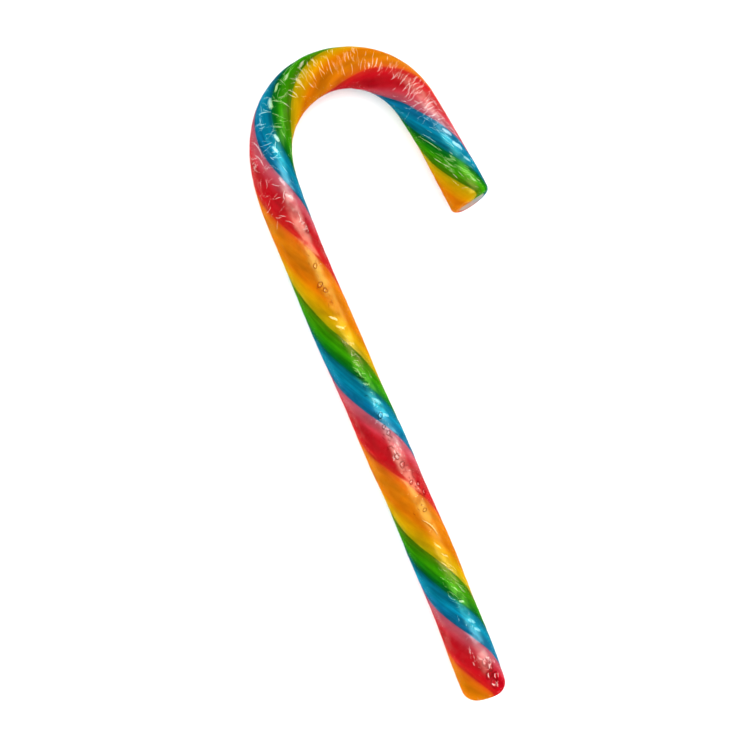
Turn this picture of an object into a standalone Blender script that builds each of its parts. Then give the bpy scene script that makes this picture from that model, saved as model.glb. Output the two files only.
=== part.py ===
"""A striped candy cane, shrunk tight into its clear wrap, as one closed solid.

The cane lies on its side with the shaft along +Y and the hook bending towards +X, in metres, with +Z
up and the origin under the middle of its bounding box. Four strands of boiled sugar (yellow running
into orange, red running into pink, blue, and green) are laid side by side, rolled into one rope,
twisted, cut to length and bent while warm. So every size below is measured along that rope, from the
rounded foot at 0 to the cut tip at ROPE_LENGTH.
"""

import math

import bmesh
import bpy
import numpy as np
from mathutils import Vector

# The rope: its length, and its diameter at a few places along it. Hand-pulled candy is never even.
ROPE_LENGTH = 0.2183
GIRTH = (
    (0.0, 0.0110),
    (0.040, 0.01095),
    (0.075, 0.01085),
    (0.115, 0.01075),
    (0.135, 0.0106),
    (0.157, 0.01065),
    (0.193, 0.01015),
    (ROPE_LENGTH, 0.0104),
)

# The twist: how far, in degrees, the stripes have turned at a few places along the rope.
TWIST = (
    (0.0, -259.0),
    (0.025, -77.0),
    (0.055, 114.0),
    (0.085, 307.0),
    (0.115, 463.0),
    (0.165, 766.0),
    (ROPE_LENGTH, 1103.0),
)

# The shaft: nearly straight, with a slight bow that turns its heading this much at either end.
SHAFT_HEADING = math.radians(-0.86)
SHAFT_BOW = math.radians(2.69)
SHAFT_BOW_MIDDLE = 0.0726
SHAFT_BOW_HALF = 0.0576

# The hook: a round bend that starts softly, ends firmly, and leaves the leg curling in a little.
BEND_START = 0.119
BEND_EASE_IN = 0.0328
BEND_RADIUS = 0.0188
BEND_TURN = math.radians(169.5)
BEND_EASE_OUT = 0.0062
LEG_CURL = math.radians(290.0)
LEG_CURL_FADE = 0.024

# The two ends: a foot rounded while soft, and a tip cut off with a softened rim. Both cuts lean, so
# that they reach further out on the rope's right-hand side, and the tip's reaches less far on top.
FOOT_ROUNDING = 0.0032
FOOT_LEAN = math.radians(2.5)
TIP_ROUNDING = 0.0013
TIP_LEAN = math.radians(6.0)
TIP_LEAN_FROM_ABOVE = math.radians(9.0)
LEAN_REACH = 0.012

# The section: slightly oval across two of the strands, with a shallow groove where strands meet.
SECTION_OVAL = 0.0001
SECTION_OVAL_PHASE = 90.0
GROOVE_DEPTH = 0.00012
GROOVE_HALF_WIDTH = 5.0
NOMINAL_RADIUS = 0.0054

# The underside was pressed flat by this much while the warm candy cooled on a table.
FLAT_DEPTH = 0.0002
TABLE_THICKNESS = 0.004
TABLE_MARGIN = 0.02

# Each stripe round the rope: its name, the phase in degrees at which it starts, its linear colour,
# and whether a groove marks that start. Two pairs of stripes run into each other with no groove.
STRIPES = (
    ("yellow", 0.0, (0.72, 0.40, 0.005), True),
    ("orange", 36.0, (0.72, 0.19, 0.005), False),
    ("red", 131.0, (0.56, 0.004, 0.012), True),
    ("pink", 200.0, (0.62, 0.10, 0.15), False),
    ("blue", 234.0, (0.004, 0.20, 0.42), True),
    ("green", 300.0, (0.035, 0.30, 0.006), True),
)
CORE_COLOUR = (0.62, 0.58, 0.55)
FULL_TURN = 360.0

# The mesh: facets round the rope, rings along it, and how finely the centre line is walked.
FACET_ANGLE = 11.0
RING_SPACING = 0.0022
FOOT_RINGS = 6
TIP_RINGS = 4
WALK_STEP = 0.00025
WELD_DISTANCE = 0.000005


def ease(share):
    """Goes from 0 to 1 as share does, starting and ending level."""
    share = min(max(share, 0.0), 1.0)
    return share * share * (3.0 - 2.0 * share)


def through(stations, distance):
    """The value at this distance of a smooth curve through (distance, value) stations."""
    places, values = np.array(stations).T
    slopes = np.gradient(values, places)
    start = min(max(int(np.searchsorted(places, distance)) - 1, 0), len(places) - 2)
    span = places[start + 1] - places[start]
    t = (distance - places[start]) / span
    from_start = values[start] * (1 + 2 * t) + slopes[start] * span * t
    from_end = values[start + 1] * (3 - 2 * t) + slopes[start + 1] * span * (t - 1)
    return float(from_start * (1 - t) ** 2 + from_end * t**2)


def turn_rate(distance):
    """How sharply the hook turns here, in radians for each metre of rope."""
    full_bend = BEND_TURN * BEND_RADIUS - (BEND_EASE_IN + BEND_EASE_OUT) / 2
    bend_end = BEND_START + BEND_EASE_IN + full_bend
    begun = ease((distance - BEND_START) / BEND_EASE_IN)
    done = ease((distance - bend_end) / BEND_EASE_OUT)
    faded = (distance - bend_end - BEND_EASE_OUT) / LEG_CURL_FADE
    curl = LEG_CURL * done * (1.0 - min(max(faded, 0.0), 1.0))
    return begun * (1.0 - done) / BEND_RADIUS + curl


def shaft_heading(distance):
    """The shaft's own heading, in radians clockwise from +Y, held from the bend onwards."""
    reach = (min(distance, BEND_START) - SHAFT_BOW_MIDDLE) / SHAFT_BOW_HALF
    return SHAFT_HEADING + SHAFT_BOW * reach**2


def centre_line(distances):
    """Walks the rope and returns (x, y, heading) at each of these distances from the foot."""
    x, y, walked, turned = 0.0, 0.0, 0.0, 0.0
    found = []
    for distance in distances:
        while walked < distance:
            step = min(WALK_STEP, distance - walked)
            middle = walked + step / 2
            turned += turn_rate(middle) * step
            heading = shaft_heading(middle) + turned
            x += math.sin(heading) * step
            y += math.cos(heading) * step
            walked += step
        found.append((x, y, shaft_heading(distance) + turned))
    return found


def ring_distances():
    """Where the rings sit along the rope: close together round both ends, and even between them."""
    foot = [
        FOOT_ROUNDING * (1.0 - math.cos(math.pi / 2 * i / FOOT_RINGS))
        for i in range(FOOT_RINGS)
    ]
    tip = [
        ROPE_LENGTH - TIP_ROUNDING * (1.0 - math.cos(math.pi / 2 * i / TIP_RINGS))
        for i in reversed(range(TIP_RINGS))
    ]
    plain_length = ROPE_LENGTH - TIP_ROUNDING - FOOT_ROUNDING
    spaces = round(plain_length / RING_SPACING)
    plain = [FOOT_ROUNDING + plain_length * i / spaces for i in range(spaces + 1)]
    return foot + plain + tip


def rounded_off(from_end, rounding):
    """How much an end's rounding takes off the radius, this far from the end."""
    inside = max(rounding - from_end, 0.0)
    return rounding - math.sqrt(max(rounding**2 - inside**2, 0.0))


def ring_radius(distance):
    """The rope's radius here, rounded off towards both ends."""
    foot = rounded_off(distance, FOOT_ROUNDING)
    tip = rounded_off(ROPE_LENGTH - distance, TIP_ROUNDING)
    return through(GIRTH, distance) / 2 - foot - tip


def centre_height(distance):
    """The rope settled on the table, so its centre lies as high as it is thick there."""
    return through(GIRTH, distance) / 2 - FLAT_DEPTH


def section_phases():
    """The phases of the section's corners, in degrees, with one exactly at each stripe's start."""
    starts = [start for _, start, _, _ in STRIPES] + [FULL_TURN]
    phases = []
    for low, high in zip(starts, starts[1:]):
        facets = round((high - low) / FACET_ANGLE)
        phases += [low + (high - low) * i / facets for i in range(facets)]
    return phases


def section_radius(phase):
    """The section's radius at a phase, as a share of the rope's own."""
    groove = 0.0
    for _, start, _, grooved in STRIPES:
        if grooved:
            away = (phase - start + FULL_TURN / 2) % FULL_TURN - FULL_TURN / 2
            groove += GROOVE_DEPTH * math.exp(-((away / GROOVE_HALF_WIDTH) ** 2))
    oval = SECTION_OVAL * math.cos(2 * math.radians(phase - SECTION_OVAL_PHASE))
    return 1.0 + (oval - groove) / NOMINAL_RADIUS


def make_section(collection):
    """The rope's section as a closed flat curve of unit size, which the centre line sweeps."""
    curve = bpy.data.curves.new("rope_section", "CURVE")
    curve.dimensions = "2D"
    phases = section_phases()
    spline = curve.splines.new("POLY")
    spline.points.add(len(phases) - 1)
    for point, phase in zip(spline.points, phases):
        radius = section_radius(phase)
        angle = math.radians(phase)
        point.co = (radius * math.sin(angle), radius * math.cos(angle), 0.0, 1.0)
    spline.use_cyclic_u = True
    return link(curve, "rope_section", collection)


def make_rope(section, collection):
    """The centre line as a curve, which sweeps the section with the rope's girth and twist."""
    curve = bpy.data.curves.new("rope", "CURVE")
    curve.dimensions = "3D"
    curve.bevel_mode = "OBJECT"
    curve.bevel_object = section
    curve.use_fill_caps = True
    curve.twist_mode = "Z_UP"
    distances = ring_distances()
    spline = curve.splines.new("POLY")
    spline.points.add(len(distances) - 1)
    for point, distance, (x, y, _) in zip(spline.points, distances, centre_line(distances)):
        point.co = (x, y, centre_height(distance), 1.0)
        point.radius = ring_radius(distance)
        point.tilt = -math.radians(through(TWIST, distance))
    return link(curve, "rope", collection)


def link(data, name, collection):
    """A new object for this data, in this collection."""
    made = bpy.data.objects.new(name, data)
    collection.objects.link(made)
    return made


def as_mesh(curve_object, name, collection):
    """The curve's surface as a mesh object with its caps welded on. The curve is removed."""
    bpy.context.view_layer.update()
    evaluated = curve_object.evaluated_get(bpy.context.evaluated_depsgraph_get())
    mesh = bpy.data.meshes.new_from_object(evaluated)
    mesh.name = name
    shape = bmesh.new()
    shape.from_mesh(mesh)
    bmesh.ops.remove_doubles(shape, verts=shape.verts, dist=WELD_DISTANCE)
    bmesh.ops.recalc_face_normals(shape, faces=shape.faces)
    shape.to_mesh(mesh)
    shape.free()
    made = link(mesh, name, collection)
    made.matrix_world = curve_object.matrix_world.copy()
    bpy.data.objects.remove(curve_object)
    return made


def lean_end(mesh, distance, outwards, lean, lean_from_above):
    """Leans an end's cut: further out on the rope's right-hand side, and less far on top.

    Outwards is 1 where the rope ends, and -1 where it begins.
    """
    x, y, heading = centre_line([distance])[0]
    end = Vector((x, y, centre_height(distance)))
    out = outwards * Vector((math.sin(heading), math.cos(heading), 0.0))
    right = Vector((math.cos(heading), -math.sin(heading), 0.0))
    for vertex in mesh.vertices:
        offset = vertex.co - end
        across = offset.dot(right)
        if abs(across) < 2 * NOMINAL_RADIUS:
            further = across * math.tan(lean) - offset.z * math.tan(lean_from_above)
            vertex.co += out * further * ease(1.0 + offset.dot(out) / LEAN_REACH)


def centre_on_origin(mesh):
    """Moves the mesh sideways until the middle of its bounding box is over the origin."""
    places = np.array([vertex.co for vertex in mesh.vertices])
    middle = (places.min(axis=0) + places.max(axis=0)) / 2
    shift = Vector((middle[0], middle[1], 0.0))
    for vertex in mesh.vertices:
        vertex.co -= shift


def sugar(name, colour):
    """The material of one colour of boiled sugar under its clear wrap."""
    material = bpy.data.materials.new("sugar_" + name)
    material.use_nodes = True
    shader = material.node_tree.nodes["Principled BSDF"]
    shader.inputs["Base Color"].default_value = (*colour, 1.0)
    shader.inputs["Roughness"].default_value = 0.14
    shader.inputs["Metallic"].default_value = 0.0
    shader.inputs["IOR"].default_value = 1.5
    material.diffuse_color = (*colour, 1.0)
    return material


def paint_stripes(mesh):
    """Gives each facet its stripe, read from the sweep's UV map, whose V runs once round the rope.

    The two caps lie wholly at V = 0, and show the pale core.
    """
    mesh.materials.clear()
    for name, _, colour, _ in STRIPES:
        mesh.materials.append(sugar(name, colour))
    mesh.materials.append(sugar("core", CORE_COLOUR))
    phases = section_phases()
    starts = [start for _, start, _, _ in STRIPES]
    places = mesh.uv_layers[0].data
    for face in mesh.polygons:
        shares_round = [places[loop].uv.y for loop in face.loop_indices]
        if max(shares_round) == 0.0:
            face.material_index = len(STRIPES)
        else:
            facet = int(np.mean(shares_round) * len(phases))
            face.material_index = sum(start <= phases[facet] for start in starts) - 1


def make_table(cane, collection):
    """The cutter that presses the underside flat: a slab whose top is the height zero."""
    places = np.array([vertex.co for vertex in cane.data.vertices])
    wide, long = (places.max(axis=0) - places.min(axis=0))[:2] + TABLE_MARGIN
    mesh = bpy.data.meshes.new("cooling_table")
    shape = bmesh.new()
    bmesh.ops.create_cube(shape, size=1.0)
    bmesh.ops.scale(shape, verts=shape.verts, vec=(wide, long, TABLE_THICKNESS))
    bmesh.ops.translate(shape, verts=shape.verts, vec=(0.0, 0.0, -TABLE_THICKNESS / 2))
    shape.to_mesh(mesh)
    shape.free()
    table = link(mesh, "cooling_table", collection)
    table.hide_render = True
    table.display_type = "WIRE"
    return table


def press_flat(cane, table):
    """Takes off what hangs below the table's top."""
    pressed = cane.modifiers.new("flat_underside", "BOOLEAN")
    pressed.operation = "DIFFERENCE"
    pressed.solver = "EXACT"
    pressed.object = table


def clear_scene():
    for old in list(bpy.data.objects):
        bpy.data.objects.remove(old)


def new_collection(name):
    made = bpy.data.collections.new(name)
    bpy.context.scene.collection.children.link(made)
    return made


def main():
    clear_scene()
    parts = new_collection("candy cane")
    cutters = new_collection("cutters")
    section = make_section(cutters)
    cane = as_mesh(make_rope(section, parts), "candy_cane", parts)
    bpy.data.objects.remove(section)
    paint_stripes(cane.data)
    lean_end(cane.data, 0.0, -1, FOOT_LEAN, 0.0)
    lean_end(cane.data, ROPE_LENGTH, 1, TIP_LEAN, TIP_LEAN_FROM_ABOVE)
    centre_on_origin(cane.data)
    cane.data.shade_smooth()
    cane.data.set_sharp_from_angle(angle=math.radians(40.0))
    press_flat(cane, make_table(cane, cutters))


main()
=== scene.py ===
# %% [markdown]
# # A rainbow candy cane in its clear wrap
#
# A candy cane is a rope. Strands of coloured boiled sugar are laid side by side, rolled into one
# bar, twisted so that the strands wind round it, cut to length and bent into a hook while warm.
# Then a thin clear film is shrunk tight over the whole cane.
#
# So this lesson builds three pieces: the candy with its stripes, the clear film over it, and the
# film's creases and trapped bubbles. All of them follow one centre line, which is written first.

import math
import random

import bmesh
import bpy
import numpy as np
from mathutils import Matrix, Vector, noise


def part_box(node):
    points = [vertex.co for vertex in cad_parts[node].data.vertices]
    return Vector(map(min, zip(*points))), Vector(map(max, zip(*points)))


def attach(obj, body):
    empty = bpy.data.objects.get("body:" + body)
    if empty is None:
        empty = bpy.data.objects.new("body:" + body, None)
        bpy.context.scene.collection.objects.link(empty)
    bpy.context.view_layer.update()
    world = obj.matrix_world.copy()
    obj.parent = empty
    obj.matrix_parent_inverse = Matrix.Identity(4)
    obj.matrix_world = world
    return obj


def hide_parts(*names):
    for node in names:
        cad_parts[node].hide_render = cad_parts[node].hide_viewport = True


MM = 0.001
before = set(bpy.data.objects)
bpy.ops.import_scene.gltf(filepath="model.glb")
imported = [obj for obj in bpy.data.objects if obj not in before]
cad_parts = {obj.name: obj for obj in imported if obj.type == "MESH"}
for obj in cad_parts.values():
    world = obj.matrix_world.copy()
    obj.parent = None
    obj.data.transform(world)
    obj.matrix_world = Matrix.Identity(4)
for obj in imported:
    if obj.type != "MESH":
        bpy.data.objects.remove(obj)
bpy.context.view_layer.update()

# %% [markdown]
# ## The rope's own measures
#
# Every place on the cane is given as a distance from the rounded foot, measured along the rope.
# The girth and the twist are short lists of stations along that distance. A smooth curve through a
# few stations gives the slightly uneven look of hand-pulled sugar, which one constant value never
# would.
#
# The bend is a few plain values: where it starts, how tight it is, how far it turns, and how it
# eases in and out. The shaft before it is bowed a very little, and the leg after it still curls.

# %% Girth, twist and bend
ROPE_LENGTH = 0.2183
GIRTH = (
    (0.0, 0.0110),
    (0.040, 0.01095),
    (0.075, 0.01085),
    (0.115, 0.01075),
    (0.135, 0.0106),
    (0.157, 0.01065),
    (0.193, 0.01015),
    (ROPE_LENGTH, 0.0104),
)
TWIST = (
    (0.0, -259.0),
    (0.025, -77.0),
    (0.055, 114.0),
    (0.085, 307.0),
    (0.115, 463.0),
    (0.165, 766.0),
    (ROPE_LENGTH, 1103.0),
)
SHAFT_HEADING = math.radians(-0.86)
SHAFT_BOW = math.radians(2.69)
SHAFT_BOW_MIDDLE = 0.0726
SHAFT_BOW_HALF = 0.0576
BEND_START = 0.119
BEND_EASE_IN = 0.0328
BEND_RADIUS = 0.0188
BEND_TURN = math.radians(169.5)
BEND_EASE_OUT = 0.0062
LEG_CURL = math.radians(290.0)
LEG_CURL_FADE = 0.024
FLAT_DEPTH = 0.0002


def ease(share):
    """Goes from 0 to 1 as share does, starting and ending level."""
    share = np.clip(share, 0.0, 1.0)
    return share * share * (3.0 - 2.0 * share)


def through(stations, distances):
    """The values at these distances of a smooth curve through (distance, value) stations."""
    places, values = np.array(stations).T
    slopes = np.gradient(values, places)
    start = np.clip(np.searchsorted(places, distances) - 1, 0, len(places) - 2)
    span = places[start + 1] - places[start]
    t = (distances - places[start]) / span
    from_start = values[start] * (1 + 2 * t) + slopes[start] * span * t
    from_end = values[start + 1] * (3 - 2 * t) + slopes[start + 1] * span * (t - 1)
    return from_start * (1 - t) ** 2 + from_end * t**2


# %% [markdown]
# ## The centre line
#
# A curve object could carry this line, but the film's creases need to be laid on the rope at any
# distance and any angle round it. So the line is walked once, from how sharply the rope turns at
# each distance, and kept as three arrays that any later cell can read between.

# %% Walking the rope
WALK_STEP = 0.0001
walk = np.arange(0.0, ROPE_LENGTH + 2 * WALK_STEP, WALK_STEP)


def turn_rate(distances):
    """How sharply the hook turns, in radians for each metre of rope."""
    full_bend = BEND_TURN * BEND_RADIUS - (BEND_EASE_IN + BEND_EASE_OUT) / 2
    bend_end = BEND_START + BEND_EASE_IN + full_bend
    begun = ease((distances - BEND_START) / BEND_EASE_IN)
    done = ease((distances - bend_end) / BEND_EASE_OUT)
    faded = (distances - bend_end - BEND_EASE_OUT) / LEG_CURL_FADE
    curl = LEG_CURL * done * (1.0 - np.clip(faded, 0.0, 1.0))
    return begun * (1.0 - done) / BEND_RADIUS + curl


def shaft_heading(distances):
    """The shaft's own heading, clockwise from +Y, held from the bend onwards."""
    reach = (np.minimum(distances, BEND_START) - SHAFT_BOW_MIDDLE) / SHAFT_BOW_HALF
    return SHAFT_HEADING + SHAFT_BOW * reach**2


def summed(values):
    """The running sum over the walk, starting from nothing."""
    return np.concatenate([[0.0], np.cumsum(values[:-1])]) * WALK_STEP


middles = walk + WALK_STEP / 2
turned = summed(turn_rate(middles))
line_heading = shaft_heading(walk) + turned
middle_heading = shaft_heading(middles) + turned + turn_rate(middles) * WALK_STEP / 2
line_x = summed(np.sin(middle_heading))
line_y = summed(np.cos(middle_heading))
print("the hook turns through", round(math.degrees(turned[-1])), "degrees")

# %% [markdown]
# ## The section
#
# The rope isn't quite round. Where two strands of different colour meet there is a shallow groove,
# and the section is a touch oval. The phase is the angle round the section counted with the
# stripes, so a strand keeps its phase from foot to tip, however much the rope is twisted.

# %% Section and places on the rope
FOOT_ROUNDING = 0.0032
TIP_ROUNDING = 0.0013
SECTION_OVAL = 0.0001
SECTION_OVAL_PHASE = 90.0
GROOVES = (0.0, 131.0, 234.0, 300.0)
GROOVE_HALF_WIDTH = 5.0
NOMINAL_RADIUS = 0.0054
FULL_TURN = 360.0


def rounded_off(from_end, rounding):
    """How much an end's rounding takes off the radius, this far from the end."""
    inside = np.clip(rounding - from_end, 0.0, rounding)
    return rounding - np.sqrt(rounding**2 - inside**2)


def rope_radius(distances):
    """The rope's radius, rounded off towards both ends."""
    foot = rounded_off(distances, FOOT_ROUNDING)
    tip = rounded_off(ROPE_LENGTH - distances, TIP_ROUNDING)
    return through(GIRTH, distances) / 2 - foot - tip


def centre_height(distances):
    """How high the centre line lies, with the underside pressed flat."""
    return through(GIRTH, distances) / 2 - FLAT_DEPTH


def section_radius(phases, groove_depth):
    """The section's radius at these phases, as a share of the rope's own."""
    groove = np.zeros_like(phases)
    for start in GROOVES:
        away = (phases - start + FULL_TURN / 2) % FULL_TURN - FULL_TURN / 2
        groove += groove_depth * np.exp(-((away / GROOVE_HALF_WIDTH) ** 2))
    oval = SECTION_OVAL * np.cos(2 * np.radians(phases - SECTION_OVAL_PHASE))
    return 1.0 + (oval - groove) / NOMINAL_RADIUS


def rope_axes(distances):
    """The centre of the rope at these distances, and which way is right and forward there."""
    heading = np.interp(distances, walk, line_heading)
    x = np.interp(distances, walk, line_x)
    y = np.interp(distances, walk, line_y)
    level = np.zeros_like(x)
    centre = np.stack([x, y, centre_height(distances)], axis=-1)
    right = np.stack([np.cos(heading), -np.sin(heading), level], axis=-1)
    forward = np.stack([np.sin(heading), np.cos(heading), level], axis=-1)
    return centre, right, forward


# %% [markdown]
# ## The surface
#
# Sugar is pulled and rolled by hand, so its surface is faintly lumpy. The lumps are real shape and
# not a bump in the material, because the long highlight down the shaft shows them: it widens,
# narrows and breaks up. One function turns a place on the unrolled rope, which is a distance along
# it, an angle round it and a height off it, into a place in space. Everything below uses it.

# %% From the unrolled rope into space
LUMPS = ((0.000040, 0.9, 140.0), (0.000050, 2.2, 420.0), (0.000040, 4.5, 1000.0))


def lumps(distances, angles):
    """How far the surface stands proud at these distances and angles round the rope."""
    heights = np.zeros(len(distances))
    for size, round_scale, along_scale in LUMPS:
        rounds = (round_scale * np.cos(angles), round_scale * np.sin(angles))
        points = np.stack([*rounds, along_scale * distances], axis=-1)
        heights += size * np.array([noise.noise(point) for point in points.tolist()])
    return heights


def on_rope(distances, angles, lifts, shares, groove_depth):
    """Places on the rope, lifted off its surface and drawn in to this share of its section."""
    centre, right, _ = rope_axes(distances)
    phases = np.degrees(angles) + through(TWIST, distances)
    radii = rope_radius(distances) * section_radius(phases, groove_depth)
    radii = shares * (radii + lumps(distances, angles) + lifts)
    up = np.array([0.0, 0.0, 1.0])
    out = np.sin(angles)[:, None] * right + np.cos(angles)[:, None] * up
    return centre + radii[:, None] * out


# %% [markdown]
# The two cuts lean a little, and the underside was pressed flat as the warm cane cooled on a
# table. Both are done last, to whatever has been laid on the rope.

# %% Leaning ends and a flat underside
FOOT_LEAN = math.radians(2.5)
TIP_LEAN = math.radians(6.0)
TIP_LEAN_FROM_ABOVE = math.radians(9.0)
LEAN_REACH = 0.012


def lean_end(places, distance, outwards, lean, lean_from_above):
    """Leans an end's cut: further out on the rope's right-hand side, and less far on top."""
    centre, right, forward = rope_axes(distance)
    offset = places - centre
    out = outwards * forward
    across = offset @ right
    further = across * math.tan(lean) - offset[:, 2] * math.tan(lean_from_above)
    near = np.abs(across) < 2 * NOMINAL_RADIUS
    amount = further * ease(1.0 + (offset @ out) / LEAN_REACH) * near
    return places + amount[:, None] * out


def finish_shape(places, floor_height):
    """Leans both ends and keeps everything above the table."""
    places = lean_end(places, 0.0, -1.0, FOOT_LEAN, 0.0)
    places = lean_end(places, ROPE_LENGTH, 1.0, TIP_LEAN, TIP_LEAN_FROM_ABOVE)
    places[:, 2] = np.maximum(places[:, 2], floor_height)
    return places


# %% [markdown]
# ## Rolling a skin
#
# The candy and the film are the same kind of skin, so one helper makes both. It starts as a flat
# sheet of faces. Its columns are phases and its rows are rings along the rope, so the UV map is
# read off while it is still flat: U runs round the rope with the stripes and V from the foot to the
# tip. Then the sheet is rolled onto the rope, its two long edges are welded, and the small holes
# left in the middle of both ends are filled. A sweep along a curve would make the same shape, but
# its UV map wouldn't turn with the twist.

# %% Rings
CAP_SHARES = (0.3, 0.6, 0.85)
FOOT_RINGS = 8
TIP_RINGS = 6


def ring_places(spacing):
    """(distance, share of the section) for each ring: the foot's cap, the rope, the tip's cap."""
    foot_angles = np.linspace(0.0, math.pi / 2, FOOT_RINGS + 1)
    tip_angles = np.linspace(math.pi / 2, 0.0, TIP_RINGS + 1)
    foot = FOOT_ROUNDING * (1.0 - np.cos(foot_angles))
    tip = ROPE_LENGTH - TIP_ROUNDING * (1.0 - np.cos(tip_angles))
    plain = np.linspace(foot[-1], tip[0], round((tip[0] - foot[-1]) / spacing) + 1)
    places = [(0.0, share) for share in CAP_SHARES]
    places += [(float(distance), 1.0) for distance in (*foot[:-1], *plain, *tip[1:])]
    places += [(ROPE_LENGTH, share) for share in reversed(CAP_SHARES)]
    return np.array(places)


# %% [markdown]
# These skins have tens of thousands of vertices, which are slow to move one at a time. So these
# helpers read and write all of a mesh's numbers at once, lay the UV map, and weld and close the
# rolled sheet.

# %% Reading, mapping and closing a mesh
WELD = 0.000001


def places_of(mesh):
    """The mesh's vertices as one array."""
    flat = np.empty(len(mesh.vertices) * 3, np.float32)
    mesh.vertices.foreach_get("co", flat)
    return flat.reshape(-1, 3).astype(float)


def move_to(mesh, places):
    """Puts the mesh's vertices at these places."""
    mesh.vertices.foreach_set("co", places.astype(np.float32).ravel())
    mesh.update()


def map_stripes(mesh, phases, distances):
    """The UV map: the phase as a share of a turn, and the distance as a share of the rope."""
    corners = np.empty(len(mesh.loops), np.int32)
    mesh.loops.foreach_get("vertex_index", corners)
    shares = np.stack([phases / FULL_TURN, distances / ROPE_LENGTH], axis=-1)
    mesh.uv_layers.new(name="stripes").data.foreach_set("uv", shares[corners].ravel())


def weld_and_close(mesh):
    """Joins the edges that meet and fills the holes that are left."""
    shape = bmesh.new()
    shape.from_mesh(mesh)
    bmesh.ops.remove_doubles(shape, verts=shape.verts, dist=WELD)
    rims = [edge for edge in shape.edges if edge.is_boundary]
    bmesh.ops.holes_fill(shape, edges=rims, sides=0)
    bmesh.ops.recalc_face_normals(shape, faces=shape.faces)
    shape.to_mesh(mesh)
    shape.free()


# %% The roll
SEGMENTS = 96


def roll_skin(name, spacing, groove_depth, inset):
    """A closed skin round the whole rope, this far inside its surface."""
    rings = ring_places(spacing)
    sheet = bmesh.new()
    bmesh.ops.create_grid(sheet, x_segments=SEGMENTS, y_segments=len(rings) - 1, size=0.5)
    mesh = bpy.data.meshes.new(name)
    sheet.to_mesh(mesh)
    sheet.free()
    flat = places_of(mesh) + 0.5
    rows = np.rint(flat[:, 1] * (len(rings) - 1)).astype(int)
    distances, shares = rings[rows].T
    phases = flat[:, 0] * FULL_TURN
    map_stripes(mesh, phases, distances)
    mesh.attributes.new("share", "FLOAT", "POINT").data.foreach_set("value", shares)
    angles = np.radians(phases - through(TWIST, distances))
    lifts = np.full(len(flat), -inset)
    move_to(mesh, finish_shape(on_rope(distances, angles, lifts, shares, groove_depth), inset))
    weld_and_close(mesh)
    mesh.shade_smooth()
    print(name, "has", len(mesh.polygons), "faces")
    return mesh


# %% [markdown]
# ## The candy
#
# The candy lies nearly a tenth of a millimetre under the film, which leaves room for the wrap's own
# thickness and the air it holds. Its rings are close enough for the lumps and the grooves to be
# smooth.
#
# The roll started at the foot, but the solid model has its origin under the middle of its box. So
# the middle of the skin is found once, and every piece is moved by the same amount.

# %% The candy's mesh
FILM_GAP = 0.00009
GROOVE_DEPTH = 0.00012
CANDY_RING_SPACING = 0.0006

candy_mesh = roll_skin("candy", CANDY_RING_SPACING, GROOVE_DEPTH, FILM_GAP)
rolled = places_of(candy_mesh)
middle = (rolled.min(axis=0) + rolled.max(axis=0)) / 2
low, high = (np.array(corner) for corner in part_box("candy_cane"))
shift = (low + high) / 2 - middle
shift[2] = 0.0
move_to(candy_mesh, rolled + shift)
candy = bpy.data.objects.new("candy", candy_mesh)
bpy.context.scene.collection.objects.link(candy)
print("moved by", [round(value / MM, 2) for value in shift], "mm")

# %% [markdown]
# ## The colours of the sugar
#
# A strand is never one flat colour. Yellow runs into orange and red runs into pink, because those
# pairs were one strand each, rolled out of two coloured ends. The others meet at a sharp line. One
# colour ramp round the section holds all of that. It is read by the phase, so each stripe winds
# round the cane by itself.

# %% The ramp round the section
LEMON = (0.42, 0.35, 0.001)
YELLOW = (0.69, 0.38, 0.001)
WARM_YELLOW = (0.76, 0.35, 0.001)
ORANGE = (0.73, 0.18, 0.001)
PALE_ORANGE = (0.76, 0.21, 0.002)
DEEP_ORANGE = (0.77, 0.165, 0.004)
RUSSET = (0.74, 0.085, 0.008)
BRIGHT_RED = (0.66, 0.02, 0.011)
RED = (0.64, 0.004, 0.012)
DEEP_RED = (0.54, 0.002, 0.01)
ROSY_RED = (0.57, 0.01, 0.022)
ROSE = (0.63, 0.035, 0.06)
PINK = (0.61, 0.075, 0.105)
DUSTY_PINK = (0.46, 0.09, 0.14)
DEEP_BLUE = (0.003, 0.115, 0.23)
BLUE = (0.001, 0.165, 0.33)
SKY_BLUE = (0.001, 0.25, 0.40)
TEAL = (0.001, 0.145, 0.23)
SEA_GREEN = (0.001, 0.14, 0.14)
BOTTLE_GREEN = (0.001, 0.12, 0.03)
DEEP_GREEN = (0.001, 0.15, 0.008)
GREEN = (0.01, 0.235, 0.003)
BRIGHT_GREEN = (0.038, 0.335, 0.001)
LEAF_GREEN = (0.036, 0.27, 0.001)
MOSS = (0.08, 0.2, 0.001)
YELLOW_TO_ORANGE = (
    (1.2, LEMON),
    (20.0, YELLOW),
    (31.0, WARM_YELLOW),
    (53.0, ORANGE),
    (95.0, PALE_ORANGE),
    (115.0, DEEP_ORANGE),
    (125.8, RUSSET),
)
RED_TO_PINK = (
    (128.2, BRIGHT_RED),
    (145.0, RED),
    (180.0, DEEP_RED),
    (190.0, ROSY_RED),
    (200.0, ROSE),
    (212.0, PINK),
    (230.8, DUSTY_PINK),
)
BLUES = ((233.2, DEEP_BLUE), (250.0, BLUE), (268.0, SKY_BLUE), (290.0, TEAL), (296.8, SEA_GREEN))
GREENS = (
    (299.2, BOTTLE_GREEN),
    (308.0, DEEP_GREEN),
    (318.0, GREEN),
    (329.0, BRIGHT_GREEN),
    (341.0, LEAF_GREEN),
    (358.8, MOSS),
)
STRIPES = (*YELLOW_TO_ORANGE, *RED_TO_PINK, *BLUES, *GREENS)
print("the stripes' ramp has", len(STRIPES), "stops")

# %% [markdown]
# ## Building a material in code
#
# A material is a graph of nodes. A small helper adds one node, sets its values and links its
# inputs, so that each line below reads as one step of the recipe.

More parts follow.
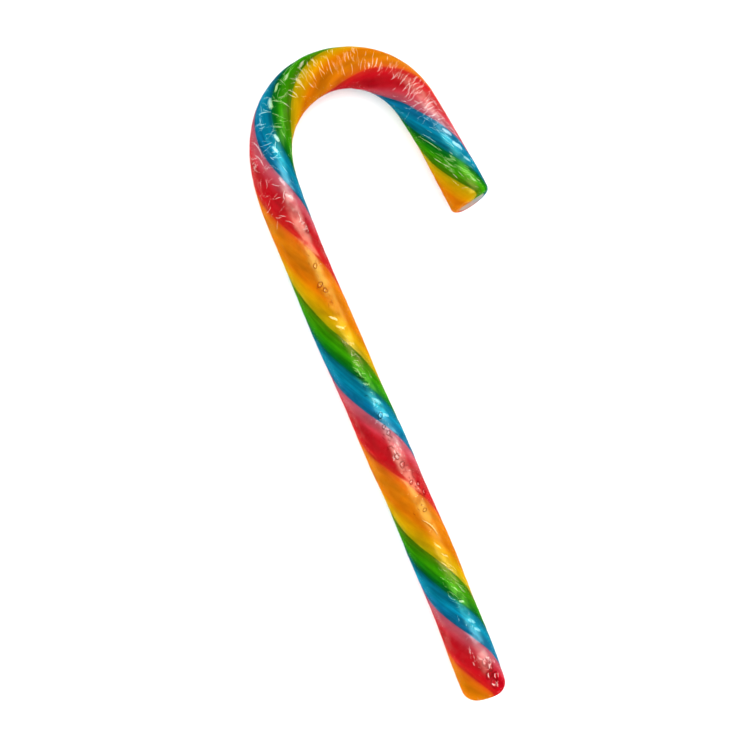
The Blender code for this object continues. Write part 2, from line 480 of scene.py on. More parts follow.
# %% Node helpers
def start_material(name):
    """A new material with an empty node graph, and its output node."""
    material = bpy.data.materials.new(name)
    material.use_nodes = True
    nodes = material.node_tree.nodes
    nodes.clear()
    return material, nodes.new("ShaderNodeOutputMaterial")


def add_node(material, kind, settings=None, **inputs):
    """One node, with its settings, and each input given a value or linked to a socket."""
    node = material.node_tree.nodes.new(kind)
    for name, value in (settings or {}).items():
        setattr(node, name, value)
    for name, value in inputs.items():
        socket = node.inputs[int(name[1:])] if name[1:].isdigit() else node.inputs[name.replace("_", " ")]
        if isinstance(value, bpy.types.NodeSocket):
            material.node_tree.links.new(value, socket)
        else:
            socket.default_value = value
    return node


def maths(material, operation, first, second=0.0, third=0.0):
    """The result of one sum on one, two or three numbers."""
    settings = {"operation": operation}
    return add_node(material, "ShaderNodeMath", settings, i0=first, i1=second, i2=third).outputs[0]


def eased_between(material, value, start, end):
    """From 0 where the value is at start to 1 where it is at end, smoothly, and held at both."""
    settings = {"interpolation_type": "SMOOTHSTEP"}
    return add_node(material, "ShaderNodeMapRange", settings, i0=value, i1=start, i2=end).outputs[0]


def colour_ramp(material, value, colours, whole):
    """A colour ramp with its stops given as (start, colour) out of this whole."""
    made = add_node(material, "ShaderNodeValToRGB", Fac=value)
    stops = made.color_ramp.elements
    while len(stops) < len(colours):
        stops.new(1.0)
    for stop, (start, colour) in zip(stops, colours):
        stop.position = start / whole
        stop.color = (*colour, 1.0)
    return made.outputs[0]


def mix_colours(material, share, first, second):
    """The colour that is this share of the way from the first to the second."""
    settings = {"data_type": "RGBA"}
    return add_node(material, "ShaderNodeMix", settings, i0=share, i6=first, i7=second).outputs[2]


def mix_shaders(material, share, first, second):
    """A surface that is this share of the way from the first shader to the second."""
    shaders = {"i1": first.outputs[0], "i2": second.outputs[0]}
    return add_node(material, "ShaderNodeMixShader", i0=share, **shaders)


# %% [markdown]
# ## Stripes, streaks and clouds
#
# Three noises make the ramp look pulled and not printed:
#
# - a slow one pushes the phase to and fro, so that the stripes' edges wander;
# - a streaky one is stretched along the stripes, as the sugar itself was. It pushes the phase by a
#   little, and it lightens and darkens the green and the blue, whose threads show most;
# - a cloudy one darkens and lightens patches, where the sugar is clearer or has more air in it.
#
# The noises read a point on a circle instead of U itself, so none of them shows the seam.

# %% Noises that wind with the stripes
candy_material, candy_output = start_material("boiled_sugar")
stripe_map = add_node(candy_material, "ShaderNodeUVMap", {"uv_map": "stripes"}).outputs[0]
split = add_node(candy_material, "ShaderNodeSeparateXYZ", i0=stripe_map)
phase_share, along_share = split.outputs[0], split.outputs[1]
round_angle = maths(candy_material, "MULTIPLY", phase_share, 2 * math.pi)
round_x = maths(candy_material, "COSINE", round_angle)
round_y = maths(candy_material, "SINE", round_angle)


def stripe_noise(across, along, detail, offset):
    """Noise that winds with the stripes: across for round the section, along for its length."""
    x = maths(candy_material, "MULTIPLY", round_x, across)
    y = maths(candy_material, "MULTIPLY", round_y, across)
    z = maths(candy_material, "MULTIPLY_ADD", along_share, along, offset)
    point = add_node(candy_material, "ShaderNodeCombineXYZ", i0=x, i1=y, i2=z)
    made = add_node(candy_material, "ShaderNodeTexNoise", Vector=point.outputs[0], Scale=1.0, Detail=detail)
    return made.outputs[0]


wander = stripe_noise(1.2, 28.0, 1.0, 0.0)
threads = stripe_noise(8.0, 30.0, 3.0, 40.0)
clouds = stripe_noise(2.2, 34.0, 3.0, 80.0)

# %% The stripes' colour
WANDER_PUSH = 0.018
THREAD_PUSH = 0.010

pushed = maths(candy_material, "MULTIPLY_ADD", wander, WANDER_PUSH, -WANDER_PUSH / 2)
pushed = maths(candy_material, "MULTIPLY_ADD", threads, THREAD_PUSH, pushed)
phase_now = maths(candy_material, "ADD", phase_share, pushed)
phase_now = maths(candy_material, "ADD", phase_now, -THREAD_PUSH / 2)
phase_now = maths(candy_material, "FRACT", phase_now)
stripe_colour = colour_ramp(candy_material, phase_now, STRIPES, FULL_TURN)

# %% [markdown]
# The threads show where green or blue is stronger than red, so that is what their strength is read
# from.
#
# The two cut faces show the pale sugar of the core. But the cutter came down through the tip from
# above and dragged the stripes' colours over the upper half of its face, so there the core shows
# only further down.

# %% Brightness
SUGAR_STRENGTH = 0.508
FULLY_COOL = 0.15
WARM_THREADS = 0.12
COOL_THREADS = 1.6
CLOUD_DEPTH = 1.1
BEHIND_CLOUDS = 0.45

ramp_channels = add_node(candy_material, "ShaderNodeSeparateColor", i0=stripe_colour)
coolness = maths(candy_material, "SUBTRACT", ramp_channels.outputs[1], ramp_channels.outputs[0])
contrasts = {"i2": FULLY_COOL, "i3": WARM_THREADS, "i4": COOL_THREADS}
thread_contrast = add_node(candy_material, "ShaderNodeMapRange", i0=coolness, **contrasts).outputs[0]
thread_height = maths(candy_material, "SUBTRACT", threads, 0.5)
thread_tone = maths(candy_material, "MULTIPLY_ADD", thread_height, thread_contrast, 1.0)
cloud_tone = maths(candy_material, "MULTIPLY_ADD", clouds, CLOUD_DEPTH, BEHIND_CLOUDS)
strength = maths(candy_material, "MULTIPLY", thread_tone, cloud_tone)
strength = maths(candy_material, "MULTIPLY", strength, SUGAR_STRENGTH)
scaling = {"operation": "SCALE"}
toned = add_node(candy_material, "ShaderNodeVectorMath", scaling, i0=stripe_colour, i3=strength)

# %% The core on the cut faces
CORE = (0.26, 0.23, 0.195)
CORE_SHARE = 0.85
CORE_RIM = 0.98
CORE_FULL = 0.80
DRAGGED_FROM = 0.0068
DRAGGED_TO = 0.0056

cap_share = add_node(candy_material, "ShaderNodeAttribute", {"attribute_name": "share"}).outputs["Fac"]
on_cap = eased_between(candy_material, cap_share, CORE_RIM, CORE_FULL)
position = add_node(candy_material, "ShaderNodeTexCoord").outputs["Object"]
height = add_node(candy_material, "ShaderNodeSeparateXYZ", i0=position).outputs[2]
undragged = eased_between(candy_material, height, DRAGGED_FROM, DRAGGED_TO)
at_foot = maths(candy_material, "LESS_THAN", along_share, 0.5)
undragged = maths(candy_material, "MAXIMUM", undragged, at_foot)
in_core = maths(candy_material, "MULTIPLY", on_cap, undragged)
in_core = maths(candy_material, "MULTIPLY", in_core, CORE_SHARE)
sugar_colour = mix_colours(candy_material, in_core, toned.outputs[0], (*CORE, 1.0))

# %% [markdown]
# ## Light in the sugar
#
# Boiled sugar is cloudy glass. Most light goes in, spreads and comes out a millimetre or so on,
# which is the shader's subsurface part. But it also shines: light from a window goes a short way in
# and comes straight back, so the highlight isn't white. Over blue it is a livelier blue, over red a
# pale pink, and over orange a pale gold. A second, rough glossy shader does this, and its colour
# comes from a ramp of its own, read at the same phase as the stripes. Of the glossy distributions,
# Beckmann's is the one whose highlight ends clearly, without a wide haze round it.
#
# How strong the highlight is depends on the film. Where it lies tight on the sugar there is one
# clear highlight, and where it holds a little air the light is scattered. One patchy noise, the
# same for candy and film, says how tight it is from place to place. A ramp along the rope, in
# millimetres from the foot, says how firmly it holds from end to end: least round the hook and at
# the foot's rounding.

# %% The colours of the highlight
SHINE = (
    (5.0, (0.94, 0.62, 0.09)),
    (32.0, (0.60, 0.44, 0.02)),
    (60.0, (0.52, 0.42, 0.06)),
    (105.0, (0.62, 0.60, 0.12)),
    (124.0, (0.62, 0.60, 0.18)),
    (136.0, (0.70, 0.42, 0.24)),
    (165.0, (0.76, 0.62, 0.46)),
    (197.0, (0.88, 0.62, 0.54)),
    (212.0, (0.68, 0.74, 0.64)),
    (228.0, (0.44, 0.48, 0.52)),
    (238.0, (0.22, 0.76, 0.92)),
    (268.0, (0.08, 0.74, 0.74)),
    (290.0, (0.04, 0.38, 0.24)),
    (301.0, (0.06, 0.38, 0.01)),
    (315.0, (0.25, 0.80, 0.05)),
    (333.0, (0.19, 0.24, 0.02)),
    (352.0, (0.30, 0.16, 0.05)),
)
print("the highlight's ramp has", len(SHINE), "stops")

# %% How tight the film lies
LOOSE_PATCH = 0.34
TIGHT_PATCH = 0.60
HOLD = (
    (5.5, 0.0),
    (9.5, 1.0),
    (132.0, 1.0),
    (146.0, 0.6),
    (156.0, 0.4),
    (183.0, 0.35),
    (193.0, 1.0),
)


def tightness(material):
    """From 0 where the film is loose to 1 where it lies tight, in patches about 2 mm wide."""
    position = add_node(material, "ShaderNodeTexCoord").outputs["Object"]
    patches = add_node(material, "ShaderNodeTexNoise", Vector=position, Scale=430.0, Detail=3.0)
    return eased_between(material, patches.outputs[0], LOOSE_PATCH, TIGHT_PATCH)


hold_stops = [(distance * MM, (hold, hold, hold)) for distance, hold in HOLD]
hold_here = colour_ramp(candy_material, along_share, hold_stops, ROPE_LENGTH)

# %% The candy's shaders
WITHOUT_HAZE = {"distribution": "BECKMANN"}
GLOW_ROUGHNESS = 0.34
LEAST_GLOW = 0.016
TIGHT_GLOW = 0.031

sugar = add_node(candy_material, "ShaderNodeBsdfPrincipled", Base_Color=sugar_colour, Roughness=0.25)
sugar.inputs["IOR"].default_value = 1.45
sugar.inputs["Specular IOR Level"].default_value = 0.0
sugar.inputs["Subsurface Weight"].default_value = 0.6
sugar.inputs["Subsurface Radius"].default_value = (1.0, 0.6, 0.5)
sugar.inputs["Subsurface Scale"].default_value = 0.0011
glow = add_node(candy_material, "ShaderNodeBsdfAnisotropic", WITHOUT_HAZE, Roughness=GLOW_ROUGHNESS)
shine_colour = colour_ramp(candy_material, phase_now, SHINE, FULL_TURN)
candy_material.node_tree.links.new(shine_colour, glow.inputs["Color"])
glow_share = maths(candy_material, "MULTIPLY_ADD", tightness(candy_material), TIGHT_GLOW, LEAST_GLOW)
glow_share = maths(candy_material, "MULTIPLY", glow_share, hold_here)
candy_surface = mix_shaders(candy_material, glow_share, sugar, glow)
candy_material.node_tree.links.new(candy_surface.outputs[0], candy_output.inputs["Surface"])
candy.data.materials.append(candy_material)
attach(candy, "root")
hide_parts("candy_cane")
print("the sugar's material has", len(candy_material.node_tree.nodes), "nodes")

# %% [markdown]
# ## The film
#
# The wrap is a clear skin that stands just where the solid model's surface is. A light way to show
# thin film is one skin that lets everything through except what it reflects, which grows towards
# its edges. That is a mix of a transparent and a glossy shader. Glass with a real thickness would
# bend the light twice and need far more samples, for the same look.

# %% The film's mesh
FILM_GROOVE_DEPTH = 0.00007
FILM_RING_SPACING = 0.0004

film_mesh = roll_skin("clear_wrap", FILM_RING_SPACING, FILM_GROOVE_DEPTH, 0.0)
move_to(film_mesh, places_of(film_mesh) + shift)

# %% [markdown]
# ## Folds
#
# Where the cane bends, the film can't follow without folding, so it is full of short creases that
# lie mostly across the rope. Along the shaft it holds small bubbles and wriggly wrinkles. All of
# them are ridges, so one helper makes them: a strip of faces laid along a path on the unrolled
# rope, raised along its middle and sunk under the film at its rim. The paths are a bow, a wriggle
# and a ring.
#
# Each fold carries a tone, which its material reads: above 0 it is whitish, partly as folded film is
# and partly a painted glint, and below 0 it is painted shade, dark as the rim of a bubble looks.

# %% Paths on the unrolled rope
def turned_path(across, along, direction):
    """The path turned by direction, in degrees from the way across the rope."""
    lean = math.radians(direction)
    turned_across = across * math.cos(lean) - along * math.sin(lean)
    turned_along = across * math.sin(lean) + along * math.cos(lean)
    return np.stack([turned_across, turned_along], axis=-1)


def bow(length, sag, direction):
    """A path that bends once, by sag in its middle."""
    t = np.linspace(-1.0, 1.0, 9)
    return turned_path(t * length / 2, sag * (1.0 - t**2), direction)


def wriggle(length, sway, waves, direction):
    """A path that sways to and fro, this many times."""
    t = np.linspace(-1.0, 1.0, 8 * waves + 1)
    return turned_path(t * length / 2, sway * np.sin(math.pi * waves * t), direction)


def ring(wide, tall, direction):
    """A closed path, as uneven as a real bubble."""
    t = np.linspace(0.0, 2 * math.pi, 17)
    uneven = 1.0 + 0.14 * np.sin(2 * t) + 0.10 * np.sin(3 * t)
    return turned_path(np.cos(t) * uneven * wide / 2, np.sin(t) * uneven * tall / 2, direction)


# %% [markdown]
# A fold starts as a flat grid, four faces wide. Each of its vertices is set beside the path, and
# raised the more, the nearer it is to the path. Both ends of an open fold taper off, and a closed
# one is welded into a ring.

# %% One fold
FACES_WIDE = 4
END_WIDTH = 0.25
SINK = 0.00003
folds = bmesh.new()
# a fold's tone: above 0 whitish film and a painted glint, below 0 painted shade
tone_of = folds.verts.layers.float.new("tone")


def add_fold(distance, angle, path, width, height, tone):
    """One ridge along a path of (across, along) points round this place, still unrolled."""
    closed = np.allclose(path[0], path[-1])
    around = np.vstack([path[-2], path, path[1]]) if closed else path
    steps = np.gradient(around, axis=0)
    steps = steps[1:-1] if closed else steps
    steps /= np.linalg.norm(steps, axis=1)[:, None]
    grid = {"x_segments": len(path) - 1, "y_segments": FACES_WIDE, "size": 0.5}
    made = bmesh.ops.create_grid(folds, **grid)["verts"]
    for vertex in made:
        here = round((vertex.co.x + 0.5) * (len(path) - 1))
        side = 2.0 * vertex.co.y
        full = 1.0 if closed else math.sqrt(max(1.0 - 4.0 * vertex.co.x**2, 0.0))
        aside = side * width / 2 * (END_WIDTH + (1.0 - END_WIDTH) * full)
        across = path[here, 0] - steps[here, 1] * aside
        along = path[here, 1] + steps[here, 0] * aside
        crown = (1.0 - side * side) ** 2 * full
        vertex[tone_of] = tone * crown
        vertex.co = (math.radians(angle) + across / NOMINAL_RADIUS, distance + along, height * crown)
    if closed:
        bmesh.ops.remove_doubles(folds, verts=made, dist=WELD)


# %% [markdown]
# The creases are scattered: their places, lengths and directions are drawn at random, gathered
# round the side of the rope where the film had most to fold away. Most of them are faint and only
# a few are bright, so how whitish they are, partly a painted glint, is drawn from a squared number.
# The hook has by far the most. Directions are counted from the way across the rope, and the strands
# run at STRIPE_WAY.

# %% Scattered creases
STRIPE_WAY = 120.0
draws = random.Random(21)


def scatter(count, distances, angle, spread, direction, turn, longest, whitest):
    """Creases between two distances, gathered round one angle and one direction."""
    for _ in range(count):
        length = longest * (0.35 + 0.65 * draws.random())
        path = bow(length, draws.gauss(0.0, 0.10) * length, draws.gauss(direction, turn))
        width = draws.uniform(0.00012, 0.00023)
        # painted glint: how whitish this crease is, partly folded film's own white
        tone = whitest * (0.25 + 0.75 * draws.random() ** 2.0)
        place = draws.uniform(*distances), draws.gauss(angle, spread)
        add_fold(*place, path, width, draws.uniform(0.00005, 0.00011), tone)


# the hook: its crown, its shoulder, where it begins, its leg, its inner side and its underside
scatter(150, (0.158, 0.198), -18.0, 20.0, 4.0, 9.0, 0.0038, 1.0)
scatter(90, (0.136, 0.160), -12.0, 28.0, 18.0, 24.0, 0.0034, 1.0)
scatter(34, (0.123, 0.140), -12.0, 26.0, 20.0, 40.0, 0.0028, 0.9)
scatter(34, (0.193, 0.217), -30.0, 20.0, STRIPE_WAY, 14.0, 0.0030, 0.9)
scatter(60, (0.130, 0.200), 100.0, 30.0, 0.0, 18.0, 0.0040, 0.6)
scatter(50, (0.120, 0.210), 190.0, 45.0, 0.0, 30.0, 0.0030, 0.6)
# the shaft: along its strands in two stretches, and a few near the foot, along the rope
scatter(30, (0.024, 0.034), 23.0, 11.0, STRIPE_WAY, 10.0, 0.0032, 0.8)
scatter(26, (0.082, 0.093), 17.0, 8.0, STRIPE_WAY, 14.0, 0.0028, 0.8)
scatter(10, (0.009, 0.0135), 5.0, 6.0, 85.0, 12.0, 0.0017, 0.9)
# the shaft: short ones in any direction, on its top and then all round
scatter(60, (0.004, 0.116), 20.0, 11.0, 60.0, 60.0, 0.0012, 0.6)
scatter(30, (0.010, 0.116), 150.0, 90.0, 60.0, 60.0, 0.0015, 0.4)
print("scattered creases:", len(folds.verts), "vertices so far")

# %% [markdown]
# On the hook and its leg the film also has fine streaks that run along a strand and turn with it,
# over the green, the blue and the pink. They are the same ridges, placed by phase and not by angle,
# and their whitish tone is partly a painted glint.

# %% Streaks along the strands
STREAK_HEIGHT = 0.00005


def scatter_on_strand(count, distances, phase, spread, longest, whitest):
    """Fine streaks that run along one strand, near this phase."""
    for _ in range(count):
        distance = draws.uniform(*distances)
        angle = draws.gauss(phase, spread) - float(through(TWIST, distance))
        length = longest * draws.uniform(0.4, 1.0)
        path = bow(length, draws.gauss(0.0, 0.05) * length, draws.gauss(STRIPE_WAY, 7.0))
        # painted glint: how whitish this streak is
        tone = whitest * (0.2 + 0.8 * draws.random() ** 2.0)
        add_fold(distance, angle, path, draws.uniform(0.00012, 0.00022), STREAK_HEIGHT, tone)


scatter_on_strand(90, (0.136, 0.217), 322.0, 8.0, 0.0030, 0.9)
scatter_on_strand(30, (0.205, 0.2172), 328.0, 9.0, 0.0026, 1.0)
scatter_on_strand(50, (0.130, 0.210), 262.0, 12.0, 0.0028, 0.7)
scatter_on_strand(24, (0.186, 0.206), 212.0, 9.0, 0.0024, 0.8)

# %% [markdown]
# The bubbles and wriggles of the shaft sit in the long highlight, where they show most. A bubble is
# an uneven ring of painted shade, dark as a real bubble's rim looks, with a painted glint inside it.
# Each one is listed: its distance in millimetres, its angle in degrees, its size in millimetres and
# the tone of its glint.

# %% Bubbles
RIM_WIDTH = 0.00025
RIM_HEIGHT = 0.00006
# painted shade: how dark a bubble's rim is
RIM_TONE = -1.0
TALLNESS = 1.3
GLINT_HEIGHT = 0.00005
BUBBLES = (
    (3.4, 28.0, 1.6, 0.8),
    (4.9, 41.0, 1.5, 0.7),
    (5.6, 23.0, 1.5, 0.8),
    (7.4, 36.0, 1.6, 0.7),
    (8.8, 24.0, 1.3, 0.6),
    (47.6, 28.0, 0.8, 0.35),
    (51.6, 50.0, 1.0, 0.6),
    (53.9, 43.0, 0.9, 0.6),
    (54.9, 25.0, 0.8, 0.6),
    (59.6, 22.0, 1.2, 0.6),
    (61.9, 17.0, 1.1, 0.35),
    (67.8, 22.0, 0.9, 0.35),
    (69.6, 17.0, 0.8, 0.35),
    (72.4, 20.0, 1.1, 0.35),
    (104.9, 19.0, 0.9, 0.35),
    (106.6, 12.0, 1.1, 0.35),
    (111.2, 19.0, 0.9, 0.35),
)
for distance, angle, size, glint_tone in BUBBLES:
    size *= MM
    place = distance * MM, angle
    rim = ring(size, TALLNESS * size, draws.gauss(0.0, 30.0))
    add_fold(*place, rim, RIM_WIDTH, RIM_HEIGHT, RIM_TONE)
    # painted glint: a small whitish fold inside the ring
    glint = bow(0.8 * size, 0.2 * size, draws.gauss(60.0, 40.0))
    add_fold(*place, glint, 0.22 * size, GLINT_HEIGHT, glint_tone)
print("bubbles:", len(BUBBLES))

# %% [markdown]
# Between the bubbles the film has short wriggly wrinkles, some dark with painted shade and some pale
# with a painted glint. They lie close together near the foot, in the middle of the shaft and just
# below the hook.

# %% Wriggles
WRIGGLE_WIDTH = 0.00022
WRIGGLE_HEIGHT = 0.00006


def scatter_wriggles(count, distances, angle, spread, longest, tone):
    """Short wriggly wrinkles between two distances, of this tone."""
    for _ in range(count):
        length = longest * draws.uniform(0.5, 1.0)
        sway = draws.uniform(0.00010, 0.00024)
        waves = draws.choice((1, 2))
        path = wriggle(length, sway, waves, draws.gauss(90.0, 45.0))
        place = draws.uniform(*distances), draws.gauss(angle, spread)
        # the tone: below 0 painted shade, above 0 a painted glint
        tone_here = tone * draws.uniform(0.4, 0.9)
        add_fold(*place, path, WRIGGLE_WIDTH, WRIGGLE_HEIGHT, tone_here)


scatter_wriggles(30, (0.062, 0.086), 17.0, 6.0, 0.0016, -0.9)
scatter_wriggles(26, (0.060, 0.090), 19.0, 7.0, 0.0016, 0.8)
scatter_wriggles(7, (0.003, 0.009), 32.0, 10.0, 0.0018, -0.9)
scatter_wriggles(14, (0.003, 0.010), 34.0, 9.0, 0.0018, 0.8)
scatter_wriggles(16, (0.050, 0.062), 32.0, 10.0, 0.0016, -1.0)
scatter_wriggles(14, (0.012, 0.050), 22.0, 12.0, 0.0014, -0.8)
scatter_wriggles(14, (0.090, 0.116), 14.0, 6.0, 0.0014, -0.7)
scatter_wriggles(9, (0.119, 0.123), 38.0, 4.0, 0.0016, -1.0)
scatter_wriggles(6, (0.119, 0.124), 38.0, 5.0, 0.0016, 0.7)

# %% [markdown]
# A few creases are long enough to be laid one by one: distance and angle, length and sag, direction
# and tone, in millimetres and degrees. A tone below 0 paints shade along a crease, and above 0 a glint.

# %% Long creases
LONG_CREASE_WIDTH = 0.00028
LONG_CREASE_HEIGHT = 0.00008
LONG_CREASES = (
    # one wrinkle: a dark line of painted shade beside a painted glint
    (43.2, 20.0, 6.6, 0.4, -65.0, -0.7),
    (43.2, 20.0, 6.0, 0.8, -65.0, 0.6),
    (138.6, -34.0, 4.2, 0.7, -55.0, 0.7),
    (141.0, -38.0, 5.0, 0.9, -50.0, 0.8),
    (140.4, 12.0, 1.6, 0.1, 10.0, 0.8),
    (142.2, 16.0, 3.6, 0.2, 88.0, 0.8),
    (148.9, -30.0, 3.8, 0.3, 25.0, 0.8),
    (152.9, 10.0, 2.8, 0.1, 0.0, 0.7),
    (156.2, 12.0, 3.2, 0.4, 5.0, 0.9),
    (158.9, 12.0, 3.0, 0.4, 8.0, 0.9),
    (200.2, 24.0, 5.0, 0.2, STRIPE_WAY, 0.6),
    (201.5, 30.0, 7.5, 0.3, STRIPE_WAY, 0.8),
)
for distance, angle, length, sag, direction, tone in LONG_CREASES:
    path = bow(length * MM, sag * MM, direction)
    add_fold(distance * MM, angle, path, LONG_CREASE_WIDTH, LONG_CREASE_HEIGHT, tone)

# %% [markdown]
# Loose film also makes pale patches that catch the light whole, and their whitish tone is a painted
# glint. These are the widest folds, and so low that they look flat: distance and angle, length and
# width, and tone, in millimetres and degrees.

# %% Pale patches
PATCH_HEIGHT = 0.00003
PATCHES = (
    (16.6, 37.0, 2.0, 1.0, 0.45),
    (19.0, 30.0, 2.4, 1.0, 0.40),
    (24.2, 25.0, 1.4, 0.7, 0.90),
    (35.8, 31.0, 2.2, 0.6, 0.45),
    (38.6, 22.0, 2.6, 0.6, 0.50),
    (72.0, 33.0, 2.2, 1.1, 0.45),
    (76.0, 26.0, 2.8, 1.2, 0.50),
    (80.5, 20.0, 1.8, 0.8, 0.45),
    (95.4, 17.0, 2.6, 0.8, 0.50),
    (98.0, 10.0, 2.4, 0.8, 0.85),
    (129.0, 24.0, 2.8, 1.0, 0.40),
    (133.0, 18.0, 2.6, 1.0, 0.40),
    (141.0, 14.0, 2.2, 1.0, 0.95),
    (144.0, 17.0, 2.6, 1.2, 1.0),
    (151.4, -25.0, 3.0, 1.5, 0.95),
    (155.0, -36.0, 2.4, 0.9, 0.85),
    (158.0, -35.0, 2.2, 0.9, 0.80),
    (162.0, -40.0, 2.6, 1.0, 0.80),
    (201.0, -30.0, 3.2, 1.2, 0.70),
    (205.0, -38.0, 3.6, 1.3, 0.75),
    (209.0, -44.0, 2.6, 1.0, 0.65),
)
for distance, angle, length, width, tone in PATCHES:
    direction = draws.gauss(STRIPE_WAY, 12.0)
    path = wriggle(length * MM, draws.uniform(0.00010, 0.00020), 1, direction)
    add_fold(distance * MM, angle, path, width * MM, PATCH_HEIGHT, tone)

# %% [markdown]
# Until now all the folds lie on one flat sheet, so they are wrapped onto the rope in one go. They
# get the stripes' UV map too, because their material asks which stripe lies below.

# %% Wrapping the folds onto the rope
fold_mesh = bpy.data.meshes.new("wrap_folds")
folds.to_mesh(fold_mesh)
folds.free()
unrolled = places_of(fold_mesh)
fold_angles = unrolled[:, 0]
fold_distances = np.clip(unrolled[:, 1], 0.0, ROPE_LENGTH)
fold_lifts = unrolled[:, 2] - SINK
wrapped = on_rope(fold_distances, fold_angles, fold_lifts, np.ones(len(unrolled)), FILM_GROOVE_DEPTH)
move_to(fold_mesh, finish_shape(wrapped, 0.0) + shift)
fold_phases = np.degrees(fold_angles) + through(TWIST, fold_distances)
map_stripes(fold_mesh, fold_phases, fold_distances)
fold_mesh.shade_smooth()
print("folds:", len(fold_mesh.polygons), "faces")

# %% [markdown]
# ## The film's material
#
# Clear film has hardly any colour of its own, so nearly all of it is transparent. What a fold adds
# depends on its tone:
#
# - a whitish fold is partly film seen edge on, which scatters some light, and partly a painted glint:
#   its scattered light has a paler version of the highlight's colour below it, and it lets through a
#   little more than all, which paints extra light on the candy beneath.
# - a dark fold is painted shade, in place of the light that a real fold or bubble rim bends away.
#   What comes through it is darker and deeper in colour, as if it had gone twice through the stripe
#   below, which looks better than plain grey.
#
# Last comes a sharp, weak gloss. It grows towards the film's edges, where any clear sheet shines.

# %% What passes through the film
MOST_PAINTED_SHADE = 0.95
GLINT_BRIGHTENING = 0.45
DEEPENING = 0.45
BLACK = (0.0, 0.0, 0.0, 1.0)

film_material, film_output = start_material("clear_film")
fold_tone = add_node(film_material, "ShaderNodeAttribute", {"attribute_name": "tone"}).outputs["Fac"]
# painted shade: a fold's tone below 0 darkens what shows through it
below_zero = maths(film_material, "MINIMUM", fold_tone, 0.0)
painted_shade = maths(film_material, "MULTIPLY", below_zero, -MOST_PAINTED_SHADE)
white_and_glint = maths(film_material, "MAXIMUM", fold_tone, 0.0)
film_map = add_node(film_material, "ShaderNodeUVMap", {"uv_map": "stripes"}).outputs[0]
film_phase = add_node(film_material, "ShaderNodeSeparateXYZ", i0=film_map).outputs[0]
film_phase = maths(film_material, "FRACT", film_phase)
# painted highlight: a whitish fold lets through more light than falls on it, brightening the candy
gathered = maths(film_material, "MULTIPLY_ADD", white_and_glint, GLINT_BRIGHTENING, 1.0)
channels = {"i0": gathered, "i1": gathered, "i2": gathered}
brightened_colour = add_node(film_material, "ShaderNodeCombineColor", **channels).outputs[0]
stripe_below = colour_ramp(film_material, film_phase, STRIPES, FULL_TURN)
# the painted shade's colour: the stripe below, deepened
deeper = mix_colours(film_material, DEEPENING, stripe_below, BLACK)
through_colour = mix_colours(film_material, painted_shade, brightened_colour, deeper)
clear = add_node(film_material, "ShaderNodeBsdfTransparent", i0=through_colour)

# %% What the folds scatter
MOST_HAZE = 0.66
MOST_WHITENING = 0.45
FOLD_WHITE = (0.90, 0.90, 0.90, 1.0)

# painted glint: a whitish fold scatters light in a paler version of the highlight's colour below it
shine_below = colour_ramp(film_material, film_phase, SHINE, FULL_TURN)
paler = add_node(film_material, "ShaderNodeGamma", Color=shine_below, Gamma=0.5).outputs[0]
whitening = maths(film_material, "MULTIPLY", white_and_glint, MOST_WHITENING)
haze_and_glint_colour = mix_colours(film_material, whitening, paler, FOLD_WHITE)
haze = add_node(film_material, "ShaderNodeBsdfDiffuse", Color=haze_and_glint_colour)
haze_share = maths(film_material, "MULTIPLY", white_and_glint, MOST_HAZE)
hazy = mix_shaders(film_material, haze_share, clear, haze)

# %% The film's gloss
GLOSS_ROUGHNESS = 0.17
EDGE_SHARPNESS = 7.0
EDGE_GLOSS = 0.24
TIGHT_GLOSS = 0.0008
LEAST_GLOSS = 0.0004
FOLD_GLOSS = 0.02

gloss = add_node(film_material, "ShaderNodeBsdfAnisotropic", WITHOUT_HAZE, Roughness=GLOSS_ROUGHNESS)
facing = add_node(film_material, "ShaderNodeLayerWeight", Blend=0.5).outputs["Facing"]
grazing = maths(film_material, "POWER", facing, EDGE_SHARPNESS)
grazing = maths(film_material, "MULTIPLY", grazing, EDGE_GLOSS)
tight = maths(film_material, "MULTIPLY_ADD", tightness(film_material), TIGHT_GLOSS, LEAST_GLOSS)
gloss_share = maths(film_material, "ADD", grazing, tight)
gloss_share = maths(film_material, "MULTIPLY_ADD", white_and_glint, FOLD_GLOSS, gloss_share)
film_surface = mix_shaders(film_material, gloss_share, hazy, gloss)
film_material.node_tree.links.new(film_surface.outputs[0], film_output.inputs["Surface"])
print("the film's material has", len(film_material.node_tree.nodes), "nodes")

# %% [markdown]
# On the real cane the film and its folds are one wrap, so they share this material and one slot.
# They stay two pieces, because the film is a closed skin and the folds are open strips laid on it.

# %% The film and its folds as pieces
film = bpy.data.objects.new("clear_wrap", film_mesh)
wrinkles = bpy.data.objects.new("wrap_folds", fold_mesh)
for piece in (film, wrinkles):
    bpy.context.scene.collection.objects.link(piece)
    piece.data.materials.append(film_material)
    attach(piece, "root")
    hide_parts("candy_cane")

# %% [markdown]
# ## The studio
#
# A pale table and plain soft light. The table lies a hair below the cane, so that the flat
# underside doesn't flicker against it.

# %% Floor
FLOOR_DROP = 0.00002
FLOOR_SIZE = 4.0
TABLE_WHITE = (0.96, 0.96, 0.96, 1.0)

floor_mesh = bpy.data.meshes.new("floor")
floor_shape = bmesh.new()
bmesh.ops.create_grid(floor_shape, x_segments=1, y_segments=1, size=FLOOR_SIZE)
bmesh.ops.translate(floor_shape, verts=floor_shape.verts, vec=(0.0, 0.0, -FLOOR_DROP))
floor_shape.to_mesh(floor_mesh)
floor_shape.free()
floor = bpy.data.objects.new("floor", floor_mesh)
bpy.context.scene.collection.objects.link(floor)
floor_material, floor_output = start_material("pale_table")
matt = add_node(floor_material, "ShaderNodeBsdfDiffuse", Color=TABLE_WHITE)
floor_material.node_tree.links.new(matt.outputs[0], floor_output.inputs["Surface"])
floor_mesh.materials.append(floor_material)

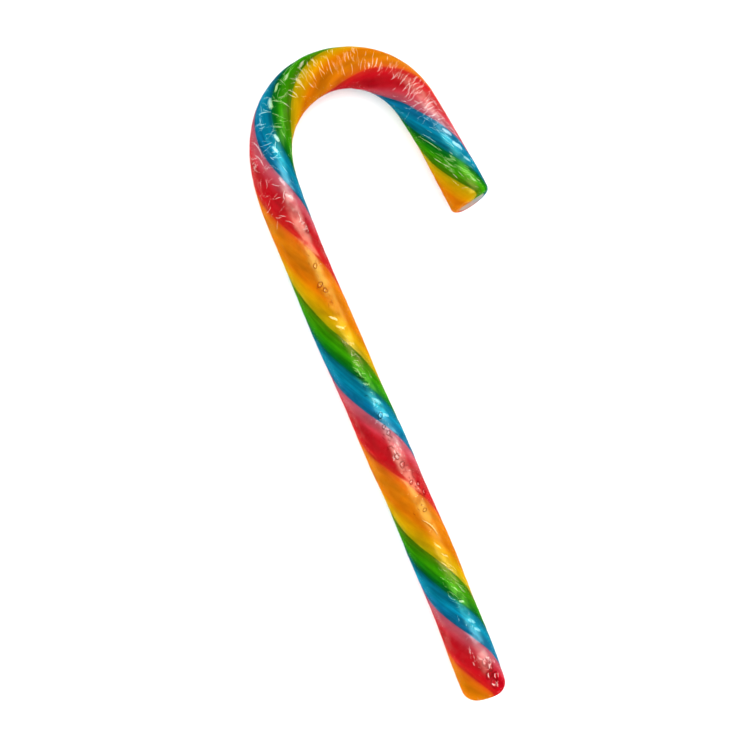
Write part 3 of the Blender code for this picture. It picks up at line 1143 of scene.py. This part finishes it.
# %% [markdown]
# One large softbox stands over the right-hand side, with a fill from the left, one from above and a
# pale world all round. A highlight has to be far brighter than the light that the sugar takes in.
# So the highlight has a softbox of its own, in nearly the same place, which only shiny surfaces see,
# and the other lights are seen by matt ones alone.

# %% Lights
LIGHT_DISTANCE = 1.2
WORLD_BRIGHTNESS = 1.32


def add_softbox(name, azimuth, elevation, wide, tall, brightness):
    """A softbox facing the cane: azimuth from +X towards +Y, brightness as its own surface's."""
    light = bpy.data.lights.new(name, "AREA")
    light.shape = "RECTANGLE"
    light.size = wide
    light.size_y = tall
    light.energy = brightness * math.pi * wide * tall
    lamp = bpy.data.objects.new(name, light)
    around, up = math.radians(azimuth), math.radians(elevation)
    way = Vector((math.cos(up) * math.cos(around), math.cos(up) * math.sin(around), math.sin(up)))
    lamp.location = way * LIGHT_DISTANCE
    lamp.rotation_euler = way.to_track_quat("Z", "Y").to_euler()
    bpy.context.scene.collection.objects.link(lamp)
    return lamp


key = add_softbox("key", 0.0, 42.0, 1.2, 1.0, 2.65)
key.visible_glossy = False
shine = add_softbox("shine", 0.0, 41.0, 1.1, 1.15, 12.0)
shine.visible_diffuse = False
side_fill = add_softbox("side_fill", 180.0, 30.0, 1.3, 1.0, 1.2)
side_fill.visible_glossy = False
top_fill = add_softbox("top_fill", 0.0, 85.0, 1.5, 1.5, 0.8)
top_fill.visible_glossy = False

world = bpy.data.worlds.new("studio")
bpy.context.scene.world = world
world.use_nodes = True
background = world.node_tree.nodes["Background"]
background.inputs["Color"].default_value = (1.0, 1.0, 1.0, 1.0)
background.inputs["Strength"].default_value = WORLD_BRIGHTNESS
world.cycles_visibility.glossy = False
print("lights:", [lamp.name for lamp in (key, shine, side_fill, top_fill)])

# %% [markdown]
# ## The camera
#
# It looks straight down at the cane, turned so that the shaft leans to the left. A long lens keeps
# the shaft's two ends equally thick.

# %% Camera
LENS = 100.0
VIEW_WIDTH = 0.180
SENSOR = 36.0
ROLL = math.radians(22.9)
VIEW_MIDDLE = (-0.01613, 0.00241)
MIDDLE_HEIGHT = 0.0054

camera_data = bpy.data.cameras.new("camera")
camera_data.lens = LENS
camera_data.sensor_width = SENSOR
camera = bpy.data.objects.new("camera", camera_data)
camera.location = (*VIEW_MIDDLE, MIDDLE_HEIGHT + VIEW_WIDTH * LENS / SENSOR)
camera.rotation_euler = (0.0, 0.0, -ROLL)
bpy.context.scene.collection.objects.link(camera)
bpy.context.scene.camera = camera
bpy.context.scene.view_settings.view_transform = "Standard"
bpy.context.scene.view_settings.look = "None"
print("the camera is", round(camera.location.z, 3), "m above the table")
